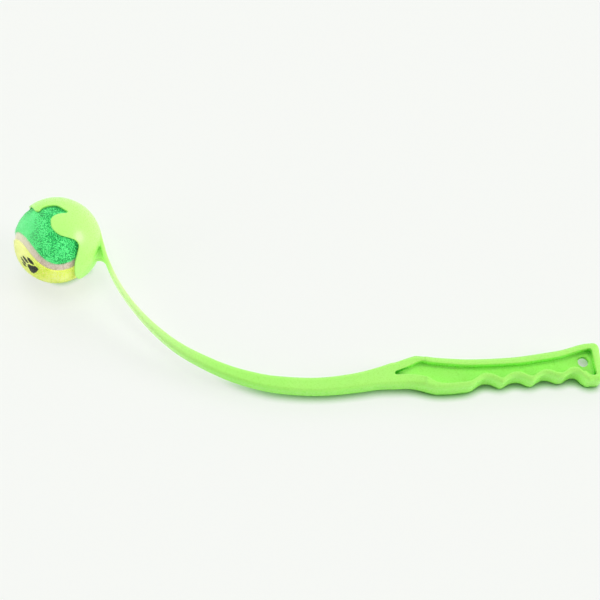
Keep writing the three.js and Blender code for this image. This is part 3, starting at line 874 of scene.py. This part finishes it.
def oval_effect():
    """Signed distance to one oval of a printed figure, in millimetres over its surface."""
    fit, given, out = effect_group(
        "printed oval",
        {"Across": 0.0, "Along": 0.0, "Middle Across": 0.0, "Middle Along": 0.0, "Half Width": 1.0,
         "Half Length": 1.0, "Lean": 0.0},
        {"Distance": float},
    )
    x = fit.math("SUBTRACT", given["Across"], given["Middle Across"])
    y = fit.math("SUBTRACT", given["Along"], given["Middle Along"])
    cos, sin = fit.math("COSINE", given["Lean"]), fit.math("SINE", given["Lean"])
    turned_x = fit.math("ADD", fit.math("MULTIPLY", x, cos), fit.math("MULTIPLY", y, sin))
    turned_y = fit.math("SUBTRACT", fit.math("MULTIPLY", y, cos), fit.math("MULTIPLY", x, sin))
    part_x = fit.math("DIVIDE", turned_x, given["Half Width"])
    part_y = fit.math("DIVIDE", turned_y, given["Half Length"])
    squares = fit.math("ADD", fit.math("MULTIPLY", part_x, part_x), fit.math("MULTIPLY", part_y, part_y))
    past = fit.math("SUBTRACT", fit.math("SQRT", squares), 1.0)
    smaller = fit.math("MINIMUM", given["Half Width"], given["Half Length"])
    fit.feed(out, "Distance", fit.math("MULTIPLY", past, smaller))
    return fit.tree


def skin_effect():
    """Skin of moulded plastic: fine orange peel with a slow flow of the melt under it."""
    fit, given, out = effect_group(
        "moulded skin",
        {"Place": Vector(), "Peel Size": 0.0012, "Flow Size": 0.03},
        {"Height": float, "Flow": float},
    )
    per_peel = fit.math("DIVIDE", 1.0, given["Peel Size"])
    per_flow = fit.math("DIVIDE", 1.0, given["Flow Size"])
    peel = fit.add(
        "ShaderNodeTexNoise", None, Vector=given["Place"], Scale=per_peel, Detail=2.0, Roughness=0.5
    ).outputs["Fac"]
    flow = fit.add(
        "ShaderNodeTexNoise", None, Vector=given["Place"], Scale=per_flow, Detail=2.0, Distortion=0.6
    ).outputs["Fac"]
    fit.feed(out, "Height", peel)
    fit.feed(out, "Flow", flow)
    return fit.tree


speckle = speckle_effect()
printed_oval = oval_effect()
moulded_skin = skin_effect()


def new_finish(name):
    material = bpy.data.materials.new(name)
    material.use_nodes = True
    tree = material.node_tree
    fit = Finish(tree)
    return material, fit, tree.nodes["Principled BSDF"]


def place_on_object(fit):
    return fit.add("ShaderNodeTexCoord").outputs["Object"]


def placed(fit, group, **inputs):
    return fit.add("ShaderNodeGroup", {"node_tree": group}, **inputs).outputs


def bump(fit, height, strength, distance):
    node = fit.add("ShaderNodeBump", None, Height=height, Strength=strength, Distance=distance)
    return node.outputs["Normal"]


def plain(bsdf, **values):
    for key, value in values.items():
        bsdf.inputs[key.replace("_", " ")].default_value = value


def plane_up():
    return on_table.to_3x3().normalized() @ Vector((0, 0, 1))


def own_plane_height(fit, place):
    """Height of a point over the middle plane of the thrower, in metres."""
    return fit.vector("DOT_PRODUCT", fit.vector("SUBTRACT", place, on_table.translation), plane_up())


def lime_tint(fit, flow, level, height_over, from_cup):
    """Plastic colour: painted shade on steep walls and web, painted light in the thin cup and neck, and painted
    glow.
    """
    # Painted shade: steep walls, and the flat web faces near the middle plane, take a deeper green by their tilt
    steep = fit.spread(level, 0.2, 0.85, 0.3, 0.0)
    flat = fit.spread(level, 0.85, 0.97, 0.0, 0.25)
    on_web = fit.math("MULTIPLY", flat, fit.spread(height_over, 0.0025, 0.0032, 1.0, 0.0))
    tint = fit.blend(flow, *LIME_MELT)
    tint = fit.blend(fit.math("MAXIMUM", steep, on_web), tint, LIME_PAINTED_WALL_SHADE)
    # Painted light: the thin cup is painted paler and given glow, for light coming through its wall
    thin = fit.spread(from_cup, 0.045, 0.15, 0.85, 0.0)
    tint = fit.blend(thin, tint, LIME_PAINTED_THIN_LIGHT)
    # Painted light: the strap next to the neck is painted paler, as where light falls on it
    on_neck = fit.spread(from_cup, 0.046, 0.058, 0.0, 0.85)
    past_neck = fit.spread(from_cup, 0.08, 0.17, 1.0, 0.0)
    tint = fit.blend(fit.math("MULTIPLY", on_neck, past_neck), tint, LIME_PAINTED_NECK_LIGHT)
    # Painted glow, strongest in the thin cup and on steep walls
    glow = fit.math("ADD", fit.math("MULTIPLY", thin, 0.12), fit.math("MULTIPLY", steep, 0.3))
    return tint, glow


def lime_plastic():
    """Translucent lime plastic, with painted light in the thin cup and neck and painted shade where walls stand
    close.
    """
    material, fit, bsdf = new_finish("lime_plastic")
    place = place_on_object(fit)
    skin = placed(fit, moulded_skin, Place=place, Peel_Size=0.0011, Flow_Size=0.045)
    height_over = fit.math("ABSOLUTE", own_plane_height(fit, place))
    normal = fit.add("ShaderNodeNewGeometry").outputs["Normal"]
    level = fit.math("ABSOLUTE", fit.vector("DOT_PRODUCT", normal, plane_up()))
    from_cup = fit.vector("LENGTH", fit.vector("SUBTRACT", place, on_table.translation))
    tint, glow = lime_tint(fit, skin["Flow"], level, height_over, from_cup)
    reach = fit.spread(level, 0.3, 0.8, 0.0066, 0.004)
    open_air = fit.add("ShaderNodeAmbientOcclusion", {"samples": 8}, Distance=reach).outputs["AO"]
    past_cup = fit.spread(from_cup, 0.05, 0.075, 0.2, 1.0)
    # Painted shade: deep corners, found by ambient occlusion, are painted a darker green, less so in the cup
    deep = fit.math("MULTIPLY", fit.spread(open_air, 0.46, 0.76, 0.95, 0.0), past_cup)
    tint = fit.blend(deep, tint, LIME_PAINTED_DEEP_SHADE)
    # The painted glow is taken out of the same deep corners
    glow = fit.math("MULTIPLY", glow, fit.spread(open_air, 0.78, 0.96))
    fit.feed(bsdf, "Base Color", tint)
    # Painted glow of the plastic, in its own colour
    fit.feed(bsdf, "Emission Color", fit.blend(fit.math("DIVIDE", glow, LIME_PAINTED_GLOW), BLACK, tint))
    fit.feed(bsdf, "Roughness", fit.spread(skin["Height"], 0.3, 0.7, 0.24, 0.34))
    parting_ridge = fit.spread(height_over, 0.0001, 0.0003, 0.5, 0.0)
    height = fit.math("ADD", fit.math("MULTIPLY", skin["Height"], 0.25), parting_ridge)
    fit.feed(bsdf, "Normal", bump(fit, height, 0.25, 0.0001))
    plain(bsdf, IOR=1.48, Subsurface_Weight=0.2, Subsurface_Radius=(1.0, 1.6, 0.5), Subsurface_Scale=0.003)
    plain(bsdf, Emission_Strength=LIME_PAINTED_GLOW)
    return material


def mottled(fit, place, tones, grain, drift, contrast):
    """Speckle of dark, middle and light tones, with its grain and its drift in metres."""
    dark, middle, light = tones
    return placed(
        fit, speckle, Place=place, Grain_Size=grain, Drift_Size=drift, Contrast=contrast,
        Dark=dark, Middle=middle, Light=light,
    )


def finish_felt(fit, bsdf, base, shade, height):
    """Matted felt, with painted shade where a claw of the cup lies close over it."""
    open_air = fit.add("ShaderNodeAmbientOcclusion", {"samples": 8}, Distance=0.002).outputs["AO"]
    # Painted shade: the felt is painted darker where a claw lies close over it
    fit.feed(bsdf, "Base Color", fit.blend(fit.spread(open_air, 0.15, 0.5, 0.95, 0.0), base, shade))
    fit.feed(bsdf, "Normal", bump(fit, height, 0.7, 0.0006))
    # Painted glow: the felt gives off light of its own, in its own colour
    fit.feed(bsdf, "Emission Color", base)
    plain(bsdf, Roughness=0.95, Sheen_Weight=0.4, Sheen_Roughness=0.5, Specular_IOR_Level=0.2)
    plain(bsdf, Emission_Strength=FELT_PAINTED_GLOW)


# Grain and drift of the felt in metres, and its contrast
FELT_GRAIN = (0.0009, 0.011, 1.2)

# Way from the middle of the ball to its lit side, where painted light makes it paler
PAINTED_LIGHT_WAY = Vector((-0.86, -0.2, 0.47))


def from_ball_middle(fit, place):
    return fit.vector("SUBTRACT", place, ball_at.translation)


def painted_light_share(fit, place):
    """Share of painted light on the ball, most in the middle of its lit side."""
    way = PAINTED_LIGHT_WAY.normalized() / BALL_RADIUS / MM
    nearness = fit.vector("DOT_PRODUCT", from_ball_middle(fit, place), way)
    return fit.spread(nearness, 0.56, 0.96, 0.0, 0.72)


def green_felt_finish():
    material, fit, bsdf = new_finish("green_felt")
    place = place_on_object(fit)
    fibre = mottled(fit, place, GREEN_FIBRE, *FELT_GRAIN)
    toned = fit.blend(painted_light_share(fit, place), fibre["Color"], GREEN_PAINTED_LIGHT)
    finish_felt(fit, bsdf, toned, GREEN_SHADED, fibre["Height"])
    return material


# Paw print: middle and half size of the four toes and of the lobes of the pad, in millimetres, and their lean
PAW_OVALS = [
    (-3.95, 5.3, 1.3, 3.7, 0.15), (-0.1, 5.15, 1.5, 3.6, 0.16), (4.05, 1.9, 1.6, 3.7, 0.11),
    (-6.6, 2.4, 1.2, 2.7, 0.33), (-0.9, -4.3, 4.6, 3.5, 0), (-1.3, -1.3, 2.4, 2.2, 0.3),
    (2.5, -5.0, 2.4, 2.5, 0), (-4.2, -5.4, 2.1, 2.4, 0),
]
PAW_PAD_WAY = Vector((-0.444, -0.859, 0.256))
PAW_TOE_WAY = Vector((-0.598, -0.705, 0.382))


def paw_mask(fit, place):
    """Four-toed paw print on the felt, a common figure on such balls, drawn as ovals."""
    turn = on_table.to_3x3().normalized()
    pad, toes = turn @ PAW_PAD_WAY.normalized(), turn @ PAW_TOE_WAY.normalized()
    out = (pad + toes).normalized()
    along = (toes - pad - out * (toes - pad).dot(out)).normalized()
    across = along.cross(out)
    from_middle = from_ball_middle(fit, place)
    sides = {}
    for name, way in (("Across", across), ("Along", along), ("Out", out)):
        sides[name] = fit.vector("DOT_PRODUCT", from_middle, way / MM)
    nearest = None
    for x, y, half_width, half_length, lean in PAW_OVALS:
        oval = placed(
            fit, printed_oval, Across=sides["Across"], Along=sides["Along"], Middle_Across=float(x),
            Middle_Along=float(y), Half_Width=half_width, Half_Length=half_length, Lean=lean,
        )["Distance"]
        nearest = oval if nearest is None else fit.math("MINIMUM", nearest, oval)
    ragged = fit.spread(fit.noise(place, 0.0009, 3.0, 0.7), 0.3, 0.7, -0.3, 0.1)
    edge = fit.spread(fit.math("ADD", nearest, ragged), -0.25, 0.15, 1.0, 0.0)
    facing = fit.spread(sides["Out"], 0.0, 1.0)
    return fit.math("MULTIPLY", edge, facing)


def yellow_felt_finish():
    material, fit, bsdf = new_finish("yellow_felt")
    place = place_on_object(fit)
    fibre = mottled(fit, place, YELLOW_FIBRE, *FELT_GRAIN)
    toned = fit.blend(painted_light_share(fit, place), fibre["Color"], YELLOW_PAINTED_LIGHT)
    ink = fit.blend(fit.spread(fibre["Height"], 0.4, 0.62), *INK)
    printed = fit.blend(paw_mask(fit, place), toned, ink)
    finish_felt(fit, bsdf, printed, YELLOW_SHADED, fibre["Height"])
    return material


def seam_rubber():
    material, fit, bsdf = new_finish("seam_rubber")
    place = place_on_object(fit)
    rubber = mottled(fit, place, SEAM_GRAIN, 0.0012, 0.006, 0.8)
    fit.feed(bsdf, "Base Color", fit.blend(painted_light_share(fit, place), rubber["Color"], SEAM_PAINTED_LIGHT))
    fit.feed(bsdf, "Normal", bump(fit, rubber["Height"], 0.5, 0.0003))
    plain(bsdf, Roughness=0.75)
    return material


def core_rubber():
    material, fit, bsdf = new_finish("core_rubber")
    place = place_on_object(fit)
    rubber = mottled(fit, place, CORE_GRAIN, 0.0008, 0.01, 0.6)
    skin = placed(fit, moulded_skin, Place=place, Peel_Size=0.0009, Flow_Size=0.02)
    fit.feed(bsdf, "Base Color", rubber["Color"])
    fit.feed(bsdf, "Roughness", fit.spread(skin["Flow"], 0.3, 0.7, 0.6, 0.8))
    fit.feed(bsdf, "Normal", bump(fit, skin["Height"], 0.3, 0.0002))
    return material


def dress(obj, material, rides_on):
    obj.data.materials.clear()
    obj.data.materials.append(material)
    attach(obj, rides_on)


dress(body, lime_plastic(), "thrower")
green_finish, yellow_finish = green_felt_finish(), yellow_felt_finish()
for piece in (green_felt, green_nap):
    dress(piece, green_finish, "ball")
for piece in (yellow_felt, yellow_nap):
    dress(piece, yellow_finish, "ball")
dress(seam, seam_rubber(), "ball")
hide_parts("thrower")
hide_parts("felt_panel_green")
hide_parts("felt_panel_yellow")
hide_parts("ball_seam")

core_finish = core_rubber()
for node in ("ball_core_half_green", "ball_core_half_yellow"):
    core = frame["nodes"][node]
    core.data.materials.clear()
    core.data.materials.append(core_finish)

# Table, light and camera

TABLE_SIZE = 12


def pale_table():
    """Matte white table: painted light makes its wide shadows paler to the camera, painted green shade fills close
    ones.
    """
    material, fit, bsdf = new_finish("pale_table")
    grain = fit.noise(place_on_object(fit), 0.004)
    paper_white = fit.blend(grain, *TABLE_WHITE)
    open_air = fit.add("ShaderNodeAmbientOcclusion", {"samples": 8}, Distance=0.0085).outputs["AO"]
    # Painted shade: close under the object the table is painted a darker green
    tint = fit.blend(fit.spread(open_air, 0.3, 0.84, 0.95, 0.0), paper_white, TABLE_PAINTED_GREEN_SHADE)
    fit.feed(bsdf, "Base Color", tint)
    plain(bsdf, Roughness=0.9, Specular_IOR_Level=0.0)
    # Painted light: to the camera, open table is partly replaced by its own glowing white, which lifts its shadows
    seen = fit.add("ShaderNodeLightPath").outputs["Is Camera Ray"]
    share = fit.math("MULTIPLY", seen, fit.spread(open_air, 0.34, 0.76, 0.0, 0.68))
    paper = fit.add("ShaderNodeEmission", None, Color=tint, Strength=1.0).outputs[0]
    mixed = fit.add("ShaderNodeMixShader", None, i0=share, i1=bsdf.outputs[0], i2=paper).outputs[0]
    fit.feed(fit.tree.nodes["Material Output"], "Surface", mixed)
    half = TABLE_SIZE / 2
    corners = [(-half, -half, 0), (half, -half, 0), (half, half, 0), (-half, half, 0)]
    table = mesh_object("table", corners, [(0, 1, 2, 3)])
    table.data.materials.append(material)


# Way to the dark part of the tent, where the camera stands, how far it reaches as cosines, and both levels
HOOD_WAY = Vector((0, -0.4, 0.917))
HOOD_EDGES = (0.5, 0.9)
TENT_LEVELS = (0.62, 0.1)

# Lamps: way to each, strength, spread in degrees, and whether the plastic mirrors it
LAMPS = {
    "overhead": ((0.04, 0.03, 1), 1.05, 34, False),
    "window_right": ((0.93, -0.08, 0.36), 1.3, 24, True),
    "window_left": ((-0.82, -0.25, 0.5), 0.45, 40, False),
    "window_back": ((-0.05, 0.72, 0.69), 0.3, 40, True),
}


def soft_light(name, way, strength, spread, mirrored):
    lamp = bpy.data.lights.new(name, "SUN")
    lamp.energy = strength
    lamp.angle = math.radians(spread)
    obj = bpy.data.objects.new(name, lamp)
    obj.rotation_euler = Vector(way).to_track_quat("Z", "Y").to_euler()
    obj.visible_glossy = mirrored
    bpy.context.collection.objects.link(obj)


def studio():
    """White tent of light, darker over the camera, with one broad lamp overhead and three windows."""
    world = bpy.data.worlds.new("studio")
    world.use_nodes = True
    fit = Finish(world.node_tree)
    way = fit.add("ShaderNodeTexCoord").outputs["Generated"]
    near_hood = fit.vector("DOT_PRODUCT", way, HOOD_WAY.normalized())
    tent = world.node_tree.nodes["Background"]
    fit.feed(tent, "Color", (1, 1, 1, 1))
    fit.feed(tent, "Strength", fit.spread(near_hood, *HOOD_EDGES, *TENT_LEVELS))
    bpy.context.scene.world = world
    for name, lamp in LAMPS.items():
        soft_light(name, *lamp)
    bpy.context.scene.view_settings.view_transform = "Standard"


CAMERA_TILT = 65
CAMERA_DISTANCE = 1008.5
CAMERA_AIM = Vector((192, -51.3, 0))
CAMERA_LENS = 78.12
CAMERA_SENSOR = 36


def camera():
    """Camera over the belly side, set in the plane of the thrower."""
    tilt = math.radians(CAMERA_TILT)
    back = Vector((0, -math.cos(tilt), math.sin(tilt)))
    right = Vector((1, 0, 0))
    axes = Matrix((right, back.cross(right), back)).transposed()
    lens = bpy.data.cameras.new("camera")
    lens.lens = CAMERA_LENS
    lens.sensor_width = CAMERA_SENSOR
    lens.clip_start, lens.clip_end = 0.05, 50
    obj = bpy.data.objects.new("camera", lens)
    turn = on_table.to_3x3().normalized() @ axes
    obj.matrix_world = Matrix.Translation(on_table @ (CAMERA_AIM + back * CAMERA_DISTANCE)) @ turn.to_4x4()
    bpy.context.collection.objects.link(obj)
    bpy.context.scene.camera = obj


pale_table()
studio()
camera()
